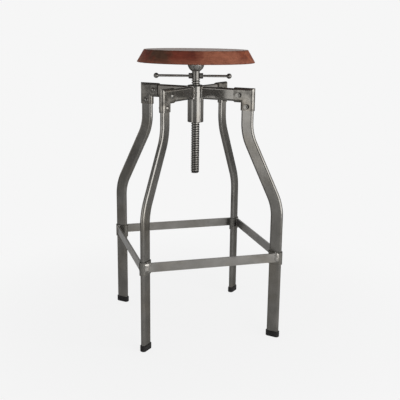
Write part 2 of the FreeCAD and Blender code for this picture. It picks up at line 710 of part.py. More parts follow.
# Footrest: four flat bars mitred to the side faces of the collars
for side, turn in SIDES:
    bar = new_body("footrest_" + side, turn)
    sketch = new_sketch(bar, "XY_Plane", size("bar_bottom"))
    near = size("bar_face")
    deep = size("bar_face") + " - " + size("bar_thickness")
    outline(sketch, [
        ("-1 * (" + near + " - " + size("bar_miter") + ")", "-1 * " + near),
        (near + " - " + size("bar_miter"), "-1 * " + near),
        (deep + " - " + size("bar_miter"), "-1 * (" + deep + ")"),
        ("-1 * (" + deep + " - " + size("bar_miter") + ")", "-1 * (" + deep + ")"),
    ])
    pad(bar, sketch, size("bar_height"))

doc.recompute()

# Every object is checked before any file is written
faults = []
for item in doc.Objects:
    if "Invalid" in item.State or "Error" in item.State:
        faults.append(item.Name + " state")
for piece in PARTS:
    if piece.Shape.isNull() or not piece.Shape.isValid():
        faults.append(piece.Label + " shape")
if faults:
    raise RuntimeError("faults: " + ", ".join(faults))

os.makedirs("parts", exist_ok=True)
for piece in PARTS:
    piece.Shape.exportStep("parts/%s.step" % piece.Label)
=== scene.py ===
import bpy
import bmesh
import json
import math
from mathutils import Matrix, Vector


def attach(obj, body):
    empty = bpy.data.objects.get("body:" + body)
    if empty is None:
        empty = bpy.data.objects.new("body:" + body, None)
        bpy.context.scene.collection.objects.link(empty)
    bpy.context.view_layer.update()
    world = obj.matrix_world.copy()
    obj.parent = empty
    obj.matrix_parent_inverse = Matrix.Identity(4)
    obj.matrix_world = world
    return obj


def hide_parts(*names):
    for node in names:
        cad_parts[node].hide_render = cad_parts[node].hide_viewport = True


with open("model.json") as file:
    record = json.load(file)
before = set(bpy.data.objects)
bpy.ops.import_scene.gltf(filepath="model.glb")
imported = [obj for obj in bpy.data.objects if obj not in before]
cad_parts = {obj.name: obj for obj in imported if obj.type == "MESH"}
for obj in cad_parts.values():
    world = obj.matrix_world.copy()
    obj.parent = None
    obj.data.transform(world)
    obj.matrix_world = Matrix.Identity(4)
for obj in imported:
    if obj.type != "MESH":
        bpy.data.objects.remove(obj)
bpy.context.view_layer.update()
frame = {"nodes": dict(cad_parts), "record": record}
nodes = frame["nodes"]
scene = bpy.context.scene
scene.view_settings.view_transform = "Standard"

# Shapes are worked out in millimetres and turned into metres as their points are made
MM = 0.001
# Places of the second and third axis in a point
Y, Z = 1, 2


# Lowest and highest place of a node's solid along an axis
def reach(name, axis):
    places = [v.co[axis] / MM for v in nodes[name].data.vertices]
    return round(min(places), 2), round(max(places), 2)


# Largest radius of a node's solid about the Z axis
def outer_radius(name):
    return round(max(math.hypot(v.co.x, v.co.y) for v in nodes[name].data.vertices) / MM, 2)


def about_z(degrees):
    return Matrix.Rotation(math.radians(degrees), 3, "Z")


# Directions of the legs from the X axis, and turns of the four sides from the front, in degrees
CORNERS = [("back_right", 45), ("back_left", 135), ("front_left", 225), ("front_right", 315)]
SIDES = (0, 90, 180, 270)

# Seat: radii of its sharp edges before they are softened, its well, and rows of points on its faces
SEAT_LOW, SEAT_HIGH = reach("seat_disc", Z)
SEAT_WIDE, SEAT_TOP = 165.0, 144.5
SEAT_LOW_EDGE, SEAT_TOP_EDGE = 1.2, 1.6
WELL_RADIUS, WELL_TOP = 18.3, 775.5
UNDER_RINGS, TOP_RINGS, BEVEL_ROWS = (60.0, 120.0), (100.0, 50.0), 6
SEAT_SEGMENTS = 160

# Lifting screw: thread, plain neck with two flats for the handle's nuts, and spigot
SCREW_LOW, SPIGOT_TOP = reach("lift_screw", Z)
NECK_TOP = reach("bearing_lower_race", Z)[0]
THREAD_TOP = 715.0
CREST, ROOT, NECK, SPIGOT = outer_radius("lift_screw"), 9.3, 11.0, 7.5
PITCH, END_CHAMFER = 6.75, 2.0
END_LAP, NECK_LAP = 0.3, 0.2
FLAT, FLAT_HALF_HEIGHT = 10.4, 8.3
SCREW_SEGMENTS, NECK_SEGMENTS = 48, 72

# Handle: its turn in the photograph's pose, its rod with two threaded stretches, and its nuts
HANDLE_TURN = -15.3
ROD_LOW, ROD_HIGH = reach("handle_rod", Z)
HANDLE_LEVEL = (ROD_LOW + ROD_HIGH) / 2
ROD, ROD_ROOT, ROD_PITCH, ROD_EDGE = 3.5, 2.9, 1.25, 0.4
ROD_LEFT, ROD_RIGHT = 108.6, 90.6
ROD_THREAD_IN, ROD_THREAD_OUT = 11.0, 33.0
ROD_SEGMENTS = 24
HANDLE_NUT_CORNER, HANDLE_NUT_BORE, HANDLE_NUT_THICK = 7.8, 3.55, 10.0

# Hub and arms
HUB = outer_radius("hub_sleeve")
ARM_LOW, ARM_HIGH = reach("arm_front_left", Z)
ARM_LEVEL, ARM_HALF_UP = (ARM_LOW + ARM_HIGH) / 2, (ARM_HIGH - ARM_LOW) / 2
ARM_HALF_ACROSS, ARM_CORNER = 6.4, 6.0

# Elbows and collars: half the width of their sleeves, bolt places as radius and level, and nuts
SLEEVE_HALF = 9.05
BOLT_PLACES = ((138.5, ARM_LEVEL), (163.0, 648.0))
ELBOW_NUT_CORNER, ELBOW_NUT_BORE, ELBOW_NUT_THICK = 7.5, 3.95, 5.5
# Chamfer of all nuts: where it starts, as a share of the flats' radius, and its slope
NUT_CHAMFER, NUT_SLOPE = 0.97, math.tan(math.radians(30))

# Footrest bars: outer and inner face, lower and upper edge, and where they meet the collars
BAR_FACE, BAR_BACK = (-place for place in reach("footrest_front", Y))
BAR_LOW, BAR_HIGH = reach("footrest_front", Z)
BAR_MID = (BAR_LOW + BAR_HIGH) / 2
MITER = SLEEVE_HALF * math.sqrt(2)

# Radius of the ring that closes a round end
PINHOLE = 0.01


# Colours are written as screen values and turned into the linear values that shaders use
def screen(red, green, blue):
    def linear(value):
        share = value / 255
        return share / 12.92 if share <= 0.04045 else ((share + 0.055) / 1.055) ** 2.4
    return (linear(red), linear(green), linear(blue), 1.0)


def grey(level):
    return (level, level, level, 1.0)


# A number of a node tree, brought from one range to another
def mapped(tree, value, given, wanted):
    made = tree.nodes.new("ShaderNodeMapRange")
    tree.links.new(value, made.inputs["Value"])
    for socket, level in zip(("From Min", "From Max", "To Min", "To Max"), (*given, *wanted)):
        made.inputs[socket].default_value = level
    return made


# Two numbers of a node tree joined into one
def joined(tree, operation, first, second):
    made = tree.nodes.new("ShaderNodeMath")
    made.operation = operation
    for socket, value in zip(made.inputs, (first, second)):
        if isinstance(value, float):
            socket.default_value = value
        else:
            tree.links.new(value, socket)
    return made.outputs["Value"]


# A small helper for node materials
class Graph:
    def __init__(self, name):
        self.material = bpy.data.materials.new(name)
        self.material.use_nodes = True
        self.tree = self.material.node_tree
        self.shader = self.tree.nodes["Principled BSDF"]
        self.place = self.tree.nodes.new("ShaderNodeTexCoord").outputs["Object"]

    def feed(self, made, socket, value):
        if isinstance(value, bpy.types.NodeSocket):
            self.tree.links.new(value, made.inputs[socket])
        else:
            made.inputs[socket].default_value = value

    def node(self, kind, **sockets):
        made = self.tree.nodes.new(kind)
        for name, value in sockets.items():
            self.feed(made, name.replace("_", " "), value)
        return made

    def scaled(self, vector, scale):
        return self.node("ShaderNodeMapping", Vector=vector, Scale=scale).outputs["Vector"]

    def noise(self, scale, detail=4.0, roughness=0.55, vector=None, distortion=0.0):
        made = self.node("ShaderNodeTexNoise", Vector=vector or self.place, Scale=scale,
                         Detail=detail, Roughness=roughness, Distortion=distortion)
        return made.outputs["Fac"]

    def ramp(self, value, *stops):
        made = self.node("ShaderNodeValToRGB", Fac=value)
        band = made.color_ramp
        while len(band.elements) < len(stops):
            band.elements.new(0.5)
        for element, (spot, colour) in zip(band.elements, stops):
            element.position = spot
            element.color = colour
        return made.outputs["Color"]

    def mix(self, factor, first, second, blend="MIX"):
        made = self.tree.nodes.new("ShaderNodeMix")
        made.data_type = "RGBA"
        made.blend_type = blend
        # These are the places of the factor and the two colours among the node's sockets
        for socket, value in zip((0, 6, 7), (factor, first, second)):
            self.feed(made, socket, value)
        return made.outputs[2]

    def span(self, value, low, high):
        return mapped(self.tree, value, (0.0, 1.0), (low, high)).outputs["Result"]

    def set(self, **sockets):
        for name, value in sockets.items():
            self.feed(self.shader, name.replace("_", " "), value)

    def bump(self, height, strength, distance):
        made = self.node("ShaderNodeBump", Height=height, Strength=strength, Distance=distance)
        self.set(Normal=made.outputs["Normal"])


# Crest wear and painted shade: the roots keep a dark tone as painted shade in the thread's recesses, and
# the crests take a worn tone
def crest_wear_and_root_shade(g):
    flat = g.node("ShaderNodeVectorMath", Vector=g.place)
    flat.operation = "MULTIPLY"
    flat.inputs[1].default_value = (1.0, 1.0, 0.0)
    radius = g.node("ShaderNodeVectorMath", Vector=flat.outputs["Vector"])
    radius.operation = "LENGTH"
    return mapped(g.tree, radius.outputs["Value"], (ROOT * MM, CREST * MM), (0.0, 1.0)).outputs["Result"]


# Dark waxed steel: broad mottling, a warm patina, fine specks and a slightly uneven gloss
def steel(name, dark, light, rough, mottle=22.0, bump=0.06, bare=0.8, edge=0.2, wax=0.0, drawn=(1, 1, 1),
          worn=None):
    g = Graph(name)
    broad = g.noise(mottle, detail=5.0, roughness=0.6)
    fine = g.noise(420.0, detail=2.0, vector=g.scaled(g.place, drawn))
    base = g.ramp(broad, (0.32, screen(*dark)), (0.68, screen(*light)))
    warmth = g.noise(mottle * 0.45, detail=3.0)
    patina = g.ramp(warmth, (0.48, grey(1.0)), (0.72, (1.0, 0.95, 0.88, 1.0)))
    speck = g.ramp(fine, (0.38, grey(0.80)), (0.62, grey(1.0)))
    colour = g.mix(0.35, g.mix(0.8, base, patina, "MULTIPLY"), speck, "MULTIPLY")
    if worn:
        # On a threaded part the roots keep the dark base tone as painted shade, and the crests take the
        # worn tone
        colour = g.mix(crest_wear_and_root_shade(g), colour, screen(*worn))
    g.set(Base_Color=colour, Metallic=bare, Specular_IOR_Level=wax, Specular_Tint=grey(edge),
          Roughness=g.span(g.noise(mottle * 2.3), rough - 0.06, rough + 0.06))
    g.bump(fine, bump, 0.0002)
    return g.material


# Wood tones, and the boards from the left edge of the seat to the right in the photograph's pose
RED, UMBER, OXBLOOD = screen(120, 56, 41), screen(84, 58, 43), screen(96, 43, 30)
TAN, OCHRE, CHESTNUT = screen(138, 84, 63), screen(142, 78, 48), screen(108, 53, 33)
LOWER_BROWN, WORN_WOOD = screen(140, 88, 68), screen(140, 104, 76)
BOARDS = [(0.00, TAN), (0.09, RED), (0.17, UMBER), (0.25, UMBER), (0.34, RED), (0.47, OXBLOOD),
          (0.58, TAN), (0.80, TAN), (0.87, CHESTNUT), (0.93, OCHRE), (1.00, CHESTNUT)]


# Stained wood: boards side by side with the grain along them, warmer below, worn and polished on top, with
# painted shade underneath and along its edges
def seat_wood(name):
    g = Graph(name)
    laid = g.node("ShaderNodeMapping", Vector=g.place, Rotation=(0.0, 0.0, -math.radians(HANDLE_TURN)))
    boards = laid.outputs["Vector"]
    parts = g.node("ShaderNodeSeparateXYZ", Vector=boards)
    side = SEAT_WIDE * MM
    across = mapped(g.tree, parts.outputs["X"], (-side, side), (0.0, 1.0)).outputs["Result"]
    levels = (SEAT_LOW * MM, SEAT_HIGH * MM)
    height = mapped(g.tree, parts.outputs["Z"], levels, (0.0, 1.0)).outputs["Result"]
    wander = g.span(g.noise(30.0, detail=5.0, roughness=0.65), -0.16, 0.16)
    tone = g.ramp(joined(g.tree, "ADD", across, wander), *BOARDS)

    along = g.scaled(boards, (5.0, 26.0, 70.0))
    grain = g.noise(4.0, detail=8.0, roughness=0.65, vector=along, distortion=0.6)
    pores = g.noise(15.0, detail=3.0, vector=g.scaled(boards, (6.0, 60.0, 110.0)))
    blotch = g.noise(34.0, detail=3.0, distortion=0.8)
    lines = g.ramp(grain, (0.32, (0.56, 0.50, 0.46, 1.0)), (0.60, grey(1.0)))
    dots = g.ramp(pores, (0.34, (0.62, 0.56, 0.54, 1.0)), (0.50, grey(1.0)))
    cloud = g.ramp(blotch, (0.34, (0.74, 0.68, 0.66, 1.0)), (0.58, grey(1.0)))
    # Painted shade: the underside and the softened lower edge made darker, and a darker band up to the
    # upper edge and over the top face
    painted_rim_shade = g.ramp(height, (0.0, (0.45, 0.42, 0.40, 1.0)), (0.09, grey(1.0)),
                  (0.88, grey(1.0)), (1.0, (0.62, 0.58, 0.55, 1.0)))
    warm = g.ramp(height, (0.10, grey(0.65)), (0.50, grey(0.0)))
    worn_top = g.ramp(height, (0.975, grey(0.0)), (0.995, grey(0.6)))
    polish = g.ramp(height, (0.975, grey(0.85)), (0.995, grey(0.36)))

    colour = g.mix(worn_top, g.mix(warm, tone, LOWER_BROWN), WORN_WOOD)
    for share, shade in ((0.8, lines), (0.7, dots), (0.8, cloud), (0.8, painted_rim_shade)):
        colour = g.mix(share, colour, shade, "MULTIPLY")
    g.set(Base_Color=colour, Roughness=g.mix(0.25, polish, lines, "MULTIPLY"), Specular_IOR_Level=0.2)
    g.bump(grain, 0.12, 0.0004)
    return g.material


def rubber(name):
    g = Graph(name)
    fine = g.noise(900.0, detail=2.0)
    g.set(Base_Color=g.ramp(g.noise(60.0), (0.35, screen(18, 17, 17)), (0.65, screen(29, 28, 27))),
          Roughness=g.span(fine, 0.62, 0.8), Specular_IOR_Level=0.3)
    g.bump(fine, 0.25, 0.0002)
    return g.material


# Metal finishes: darkest and lightest tone, gloss, and what sets each apart
FINISHES = {
    "tube_steel": dict(dark=(108, 106, 102), light=(124, 122, 118), rough=0.17, bump=0.025,
                       drawn=(1, 1, 0.04)),
    "arm_steel": dict(dark=(112, 110, 106), light=(128, 125, 121), rough=0.14, bump=0.04, bare=0.78),
    "collar_steel": dict(dark=(104, 102, 98), light=(120, 118, 113), rough=0.26, bare=0.7),
    "bar_steel": dict(dark=(116, 114, 110), light=(132, 130, 126), rough=0.30, bare=0.6, edge=1.0,
                      wax=0.25),
    "elbow_iron": dict(dark=(72, 70, 67), light=(134, 131, 125), rough=0.24, mottle=48.0, bump=0.2,
                       bare=0.75),
    "hub_steel": dict(dark=(108, 106, 103), light=(118, 116, 112), rough=0.15, bump=0.03, bare=0.88,
                      drawn=(1, 1, 0.1)),
    # The screw's dark tones are painted shade for its thread roots; its crests and neck take the worn tone
    "screw_steel": dict(dark=(40, 39, 37), light=(50, 48, 46), rough=0.22, mottle=40.0,
                        worn=(112, 110, 106)),
    "handle_steel": dict(dark=(104, 102, 98), light=(124, 122, 118), rough=0.22, mottle=40.0, edge=0.4),
    "rod_steel": dict(dark=(158, 156, 152), light=(176, 174, 170), rough=0.16, mottle=40.0, bare=0.9,
                      edge=0.8),
    "seat_iron": dict(dark=(126, 124, 120), light=(142, 140, 136), rough=0.25, mottle=40.0, bare=0.75),
    "fastener_steel": dict(dark=(98, 96, 92), light=(130, 128, 124), rough=0.16, mottle=90.0, edge=0.08),
    "bearing_steel": dict(dark=(150, 149, 146), light=(176, 175, 172), rough=0.22, mottle=60.0),
    "bush_brass": dict(dark=(140, 112, 66), light=(168, 138, 86), rough=0.34, mottle=60.0),
    "weld_steel": dict(dark=(138, 136, 132), light=(180, 177, 172), rough=0.24, mottle=160.0, bump=0.2,
                       edge=0.5),
    "fillet_steel": dict(dark=(124, 122, 118), light=(164, 161, 156), rough=0.24, mottle=120.0, bump=0.1),
}
LOOKS = {name: steel(name, **finish) for name, finish in FINISHES.items()}
LOOKS["foot_rubber"] = rubber("foot_rubber")
LOOKS["seat_wood"] = seat_wood("seat_wood")

# Each node takes the finish of its slot, but the arms and the footrest bars have one of their own
SLOTS = {s["node"]: s["material_slot"] for s in frame["record"]["subparts"]}
OWN_FINISH = {"arm": "arm_steel", "footrest": "bar_steel"}
for name, node in nodes.items():
    node.data.materials.clear()
    node.data.materials.append(LOOKS[OWN_FINISH.get(name.split("_")[0], SLOTS[name])])


# A mesh piece that rides on a body and takes a material slot
def piece(name, verts, faces, look, body, swap=(), smooth=40):
    mesh = bpy.data.meshes.new(name)
    mesh.from_pydata([tuple(v) for v in verts], [], faces)
    shape = bmesh.new()
    shape.from_mesh(mesh)
    bmesh.ops.remove_doubles(shape, verts=shape.verts, dist=1e-7)
    bmesh.ops.dissolve_degenerate(shape, edges=shape.edges, dist=1e-7)
    bmesh.ops.recalc_face_normals(shape, faces=shape.faces)
    shape.to_mesh(mesh)
    shape.free()
    mesh.shade_smooth()
    mesh.set_sharp_from_angle(angle=math.radians(smooth))
    made = bpy.data.objects.new(name, mesh)
    scene.collection.objects.link(made)
    mesh.materials.append(LOOKS[look])
    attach(made, body)
    if swap:
        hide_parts(*swap)


# Points and faces added to those of a piece that has several shapes
def add(verts, faces, more_verts, more_faces):
    start = len(verts)
    verts.extend(more_verts)
    faces.extend(tuple(start + i for i in face) for face in more_faces)


# Faces that join rows of points, each row a closed ring; the last row may join the first
def skin(rows, around, close_ends=False, wrap=False):
    faces = []
    for i in range(rows if wrap else rows - 1):
        n = (i + 1) % rows
        for j in range(around):
            k = (j + 1) % around
            faces.append((i * around + j, i * around + k, n * around + k, n * around + j))
    if close_ends:
        faces.append(tuple(range(around))[::-1])
        faces.append(tuple((rows - 1) * around + j for j in range(around)))
    return faces


# Points of a round piece about the Z axis from radius and height pairs
def lathe(profile, around):
    verts = []
    for radius, height in profile:
        for j in range(around):
            turn = 2 * math.pi * j / around
            verts.append(Vector((radius * math.cos(turn), radius * math.sin(turn), height)) * MM)
    return verts


# Points that round a corner of a profile
def rounded(before, corner, after, radius, steps=5):
    a = (Vector(before) - Vector(corner)).normalized()
    b = (Vector(after) - Vector(corner)).normalized()
    half = a.angle(b) / 2
    cut = radius / math.tan(half)
    centre = Vector(corner) + (a + b).normalized() * (radius / math.sin(half))
    first = Vector(corner) + a * cut - centre
    last = Vector(corner) + b * cut - centre
    return [tuple(centre + first.lerp(last, i / steps).normalized() * radius) for i in range(steps + 1)]


# Seat: the bevelled disc with softened edges and its well
def seat():
    rim = Vector((SEAT_WIDE, SEAT_LOW))
    lip = Vector((SEAT_TOP, SEAT_HIGH))
    under = [(radius, SEAT_LOW) for radius in UNDER_RINGS]
    over = [(radius, SEAT_HIGH) for radius in TOP_RINGS]
    profile = [(PINHOLE, WELL_TOP), (WELL_RADIUS, WELL_TOP), (WELL_RADIUS, SEAT_LOW)] + under
    profile += rounded(under[-1], rim, lip, SEAT_LOW_EDGE)
    profile += [tuple(rim.lerp(lip, i / BEVEL_ROWS)) for i in range(1, BEVEL_ROWS)]
    profile += rounded(rim, lip, over[0], SEAT_TOP_EDGE)
    profile += over + [(PINHOLE, SEAT_HIGH)]
    piece("seat_top", lathe(profile, SEAT_SEGMENTS), skin(len(profile), SEAT_SEGMENTS, True), "seat_wood",
          "seat", ("seat_disc",))


# Faces between helix rows: where a ring closes, it steps up to the next turn
def thread_skin(count, around, per_turn):
    faces = []
    for i in range(count - 1):
        for j in range(around):
            k = (j + 1) % around
            n = i if k else i + per_turn
            if n + 1 < count:
                faces.append((i * around + j, n * around + k, (n + 1) * around + k, (i + 1) * around + j))
    return faces


# A screw thread about the Z axis: rows follow the helix, and the ends are cut square
def thread(root, crest, pitch, low, high, around, chamfer=0.0):
    shape = [(0.0, root), (0.14, root), (0.26, crest), (0.76, crest), (0.88, root)]
    turns = int(math.ceil((high - low) / pitch)) + 2
    verts = []
    for turn in range(turns):
        for share, radius in shape:
            for j in range(around):
                angle = 2 * math.pi * j / around
                height = low + (turn - 1 + share + j / around) * pitch
                level = min(max(height, low), high)
                out = min(radius, crest - chamfer + (level - low)) if chamfer else radius
                verts.append(Vector((out * math.cos(angle), out * math.sin(angle), level)) * MM)
    return verts, thread_skin(turns * len(shape), around, len(shape))


# Lifting screw: thread, end disc, then the neck with its two flats, and the spigot
def lift_screw():
    verts, faces = thread(ROOT, CREST, PITCH, SCREW_LOW, THREAD_TOP, SCREW_SEGMENTS, END_CHAMFER)
    end_disc = [(PINHOLE, SCREW_LOW), (ROOT + END_LAP, SCREW_LOW)]
    add(verts, faces, lathe(end_disc, SCREW_SEGMENTS), skin(len(end_disc), SCREW_SEGMENTS))
    low, high = HANDLE_LEVEL - FLAT_HALF_HEIGHT, HANDLE_LEVEL + FLAT_HALF_HEIGHT
    # Radius, half the width across, and height
    neck = [(ROOT - NECK_LAP, NECK, THREAD_TOP), (NECK, NECK, THREAD_TOP), (NECK, NECK, low),
            (NECK, FLAT, low), (NECK, FLAT, high), (NECK, NECK, high), (NECK, NECK, NECK_TOP),
            (SPIGOT, NECK, NECK_TOP), (SPIGOT, NECK, SPIGOT_TOP), (PINHOLE, NECK, SPIGOT_TOP)]
    rings = []
    for radius, half, height in neck:
        for j in range(NECK_SEGMENTS):
            turn = 2 * math.pi * j / NECK_SEGMENTS
            x = max(-half, min(half, radius * math.cos(turn)))
            rings.append(Vector((x, radius * math.sin(turn), height)) * MM)
    add(verts, faces, rings, skin(len(neck), NECK_SEGMENTS, True))
    swing = about_z(HANDLE_TURN)
    piece("lift_screw_threaded", [swing @ v for v in verts], faces, "screw_steel", "screw",
          ("lift_screw",), 35)


# A turn that lays the Z axis along the handle, towards its right or left end
def along_handle(flip=0):
    return about_z(HANDLE_TURN + flip) @ Matrix.Rotation(math.radians(90), 3, "Y")


HANDLE_LIFT = Vector((0, 0, HANDLE_LEVEL * MM))


# Handle rod: smooth outside, with a short thread beside each nut
def handle_rod():
    verts = []
    faces = []
    for low, high in ((-ROD_THREAD_OUT, -ROD_THREAD_IN), (ROD_THREAD_IN, ROD_THREAD_OUT)):
        add(verts, faces, *thread(ROD_ROOT, ROD, ROD_PITCH, low, high, ROD_SEGMENTS))
    for low, high in ((-ROD_LEFT, -ROD_THREAD_OUT), (-ROD_THREAD_IN, ROD_THREAD_IN),
                      (ROD_THREAD_OUT, ROD_RIGHT)):
        bar = [(PINHOLE, low), (ROD - ROD_EDGE, low), (ROD, low + ROD_EDGE),
               (ROD, high - ROD_EDGE), (ROD - ROD_EDGE, high), (PINHOLE, high)]
        add(verts, faces, lathe(bar, ROD_SEGMENTS), skin(len(bar), ROD_SEGMENTS, True))
    lay = along_handle()
    piece("handle_rod_threaded", [lay @ v + HANDLE_LIFT for v in verts], faces, "rod_steel", "screw",
          ("handle_rod",), 35)


# A hexagon nut about the Z axis with its corners chamfered at both ends
def hex_nut(corner, bore, thickness, around=72):
    sixth = math.radians(60)
    flat = corner * math.cos(sixth / 2)
    bevel = flat * NUT_CHAMFER
    rings = []
    for level, side in ((0.0, 1), (thickness, -1)):
        bored, faced, outer = [], [], []
        for j in range(around):
            turn = 2 * math.pi * j / around
            edge = flat / math.cos(turn % sixth - sixth / 2)
            drop = max(0.0, edge - bevel) * NUT_SLOPE
            ray = Vector((math.cos(turn), math.sin(turn), 0.0))
            bored.append((ray * bore + Vector((0, 0, level))) * MM)
            faced.append((ray * bevel + Vector((0, 0, level))) * MM)
            outer.append((ray * edge + Vector((0, 0, level + side * drop))) * MM)
        rings += [bored, faced, outer][::side]
    return [v for ring in rings for v in ring], skin(len(rings), around, wrap=True)


def handle_nuts():
    for side, flip in (("left", 180), ("right", 0)):
        verts, faces = hex_nut(HANDLE_NUT_CORNER, HANDLE_NUT_BORE, HANDLE_NUT_THICK)
        lay = along_handle(flip)
        shift = lay @ Vector((0, 0, FLAT * MM)) + HANDLE_LIFT
        piece("handle_hex_nut_" + side, [lay @ v + shift for v in verts], faces, "handle_steel", "screw",
              ("handle_nut_" + side,), 25)


# Elbow nuts, all in one piece as in the solids
def elbow_nuts():
    verts = []
    faces = []
    for corner, turn in CORNERS:
        across = about_z(turn) @ Matrix.Rotation(math.radians(-90), 3, "X")
        for radius, level in BOLT_PLACES:
            nut, nut_faces = hex_nut(ELBOW_NUT_CORNER, ELBOW_NUT_BORE, ELBOW_NUT_THICK)
            spot = about_z(turn) @ Vector((radius, -(SLEEVE_HALF + ELBOW_NUT_THICK), level)) * MM
            add(verts, faces, [across @ v + spot for v in nut], nut_faces)
    piece("elbow_hex_nuts", verts, faces, "fastener_steel", "frame", ("elbow_nuts",), 25)


# A weld bead along a closed path: its radius at each point, and the ripples of a hand-laid weld
def bead(path, radii, ripple, depth, seed, around=8):
    step_length, least_steps, least_waves = 0.45, 24, 8
    wobble_turn, wobble_depth = 5.1, 0.5
    aside = Vector((0.31, 0.22, 0.92))
    count = len(path)
    lengths = [0.0]
    for i in range(count):
        lengths.append(lengths[-1] + (path[(i + 1) % count] - path[i]).length)
    total = lengths[-1]
    steps = max(least_steps, int(total / step_length))
    waves = max(least_waves, round(total / ripple))
    spots = []
    sizes = []
    at = 0
    for s in range(steps):
        want = total * s / steps
        while lengths[at + 1] < want:
            at = at + 1
        share = (want - lengths[at]) / (lengths[at + 1] - lengths[at])
        after = (at + 1) % count
        spots.append(path[at].lerp(path[after], share))
        sizes.append(radii[at] + (radii[after] - radii[at]) * share)
    verts = []
    for s in range(steps):
        ahead = (spots[(s + 1) % steps] - spots[s - 1]).normalized()
        side = ahead.cross(aside).normalized()
        other = ahead.cross(side)
        phase = waves * s / steps
        wave = abs(math.sin(math.pi * phase))
        wobble = math.sin(seed + wobble_turn * math.floor(phase)) * wobble_depth
        size = sizes[s] * (1.0 + depth * (wave + wobble - 1.0))
        for j in range(around):
            angle = 2 * math.pi * j / around
            out = side * (size * math.cos(angle)) + other * (size * math.sin(angle))
            verts.append((spots[s] + out) * MM)
    return verts, skin(steps, around, wrap=True)


# The outline of the arm's tube, as points across and up
def tube_outline(steps=4):
    points = []
    for cx, cy, begin in ((1, -1, -90), (1, 1, 0), (-1, 1, 90), (-1, -1, 180)):
        for i in range(steps + 1):
            angle = math.radians(begin + 90 * i / steps)
            points.append((cx * (ARM_HALF_ACROSS - ARM_CORNER) + ARM_CORNER * math.cos(angle),
                           cy * (ARM_HALF_UP - ARM_CORNER) + ARM_CORNER * math.sin(angle)))
    return points


# Welds round the arms at the hub: heaviest at mid-height, and drawn out along the arms
HUB_BEADS = {"back_right": 4.0, "back_left": 4.0, "front_left": 5.2, "front_right": 3.2}
HUB_RIPPLE, HUB_RIPPLE_DEPTH = 4.0, 0.30
WIDER, HIGHER, THINNING, DRAW = 1.05, 1.02, 0.42, 1.4


def hub_welds():
    verts = []
    faces = []
    for number, (corner, turn) in enumerate(CORNERS):
        path = []
        radii = []
        for across, up in tube_outline():
            out = across * WIDER
            path.append(Vector((math.sqrt(HUB * HUB - out * out), out, ARM_LEVEL + up * HIGHER)))
            radii.append(HUB_BEADS[corner] * (1.0 - THINNING * (abs(up) / ARM_HALF_UP) ** 4))
        laid, laid_faces = bead(path, radii, HUB_RIPPLE, HUB_RIPPLE_DEPTH, number * 1.7)
        for v in laid:
            wall = math.sqrt(max(0.0, (HUB * MM) ** 2 - v.y ** 2))
            if v.x > wall:
                v.x = wall + (v.x - wall) * DRAW
        spin = about_z(turn)
        add(verts, faces, [spin @ v for v in laid], laid_faces)
    piece("hub_welds", verts, faces, "weld_steel", "frame", (), 60)


# Tack welds where the footrest bars meet the collars: face, level and radius of the bead at each point
TACK_FACE = BAR_FACE - 1.0
TACKS = [(TACK_FACE, BAR_LOW + 1.0, 2.2), (TACK_FACE, BAR_LOW + 7.0, 3.3), (TACK_FACE, BAR_MID, 1.8),
         (TACK_FACE, BAR_HIGH - 7.0, 3.6), (TACK_FACE, BAR_HIGH - 1.0, 2.4),
         (BAR_BACK, BAR_HIGH, 1.8), (BAR_BACK, BAR_LOW, 1.8)]
TACK_RIPPLE, TACK_RIPPLE_DEPTH = 5.5, 0.25


def footrest_welds():
    verts = []
    faces = []
    for number, turn in enumerate(SIDES):
        spin = about_z(turn)
        for hand in (1, -1):
            path = [Vector((hand * (face - MITER), -face, level)) for face, level, radius in TACKS]
            radii = [radius for face, level, radius in TACKS]
            laid, laid_faces = bead(path, radii, TACK_RIPPLE, TACK_RIPPLE_DEPTH, number + hand * 0.6)
            add(verts, faces, [spin @ v for v in laid], laid_faces)
    piece("footrest_welds", verts, faces, "weld_steel", "frame", (), 60)


# Flat fillets over those joints, from the collar's side onto the bar's outer face
ON_COLLAR, ON_BAR = 4.5, 9.0
BULGE, FILLET_RIPPLE, SUNK, EDGE_SUNK = 0.7, 0.35, 0.6, 0.05
FILLET_HALF_HEIGHT = (BAR_HIGH - BAR_LOW) / 2 * 0.97
LEVELS, ACROSS = 26, 6


def footrest_fillets():
    verts = []
    faces = []
    for number, turn in enumerate(SIDES):
        spin = about_z(turn)
        for hand in (1, -1):
            joint = Vector((hand * (BAR_FACE - MITER), -BAR_FACE, 0.0))
            collar_end = Vector((hand, -1.0, 0.0)).normalized() * ON_COLLAR
            bar_end = Vector((-hand * ON_BAR, 0.0, 0.0))
            proud = (Vector((-hand, -1.0, 0.0)).normalized() + Vector((0.0, -1.0, 0.0))).normalized()
            fillet = []
            for i in range(LEVELS):
                share = 2 * i / (LEVELS - 1) - 1
                spot = joint + Vector((0, 0, BAR_MID + share * FILLET_HALF_HEIGHT))
                # Nearly full along the height, and rounded off at both ends
                full = math.sqrt(1.02 - share ** 6)
                swell = BULGE + FILLET_RIPPLE * abs(math.sin(i * 0.9 + number + hand))
                fillet.append(spot - proud * SUNK)
                for j in range(ACROSS + 1):
                    along = collar_end.lerp(bar_end, j / ACROSS) * full
                    rise = swell * math.sin(math.pi * j / ACROSS) * full - EDGE_SUNK
                    fillet.append(spot + along + proud * rise)
            add(verts, faces, [spin @ v * MM for v in fillet], skin(LEVELS, ACROSS + 2, True))
    piece("footrest_fillets", verts, faces, "fillet_steel", "frame", (), 60)


seat()
lift_screw()
handle_rod()
handle_nuts()
elbow_nuts()
hub_welds()
footrest_welds()
footrest_fillets()

# From here on, lengths are in metres
BACKGROUND = screen(246, 246, 246)
FLOOR_REACH = 14.0


# Rays that show the background as it is: from the camera, or through glass
def seen_rays(tree, rays):
    return joined(tree, "MAXIMUM", rays.outputs["Is Camera Ray"], rays.outputs["Is Transmission Ray"])


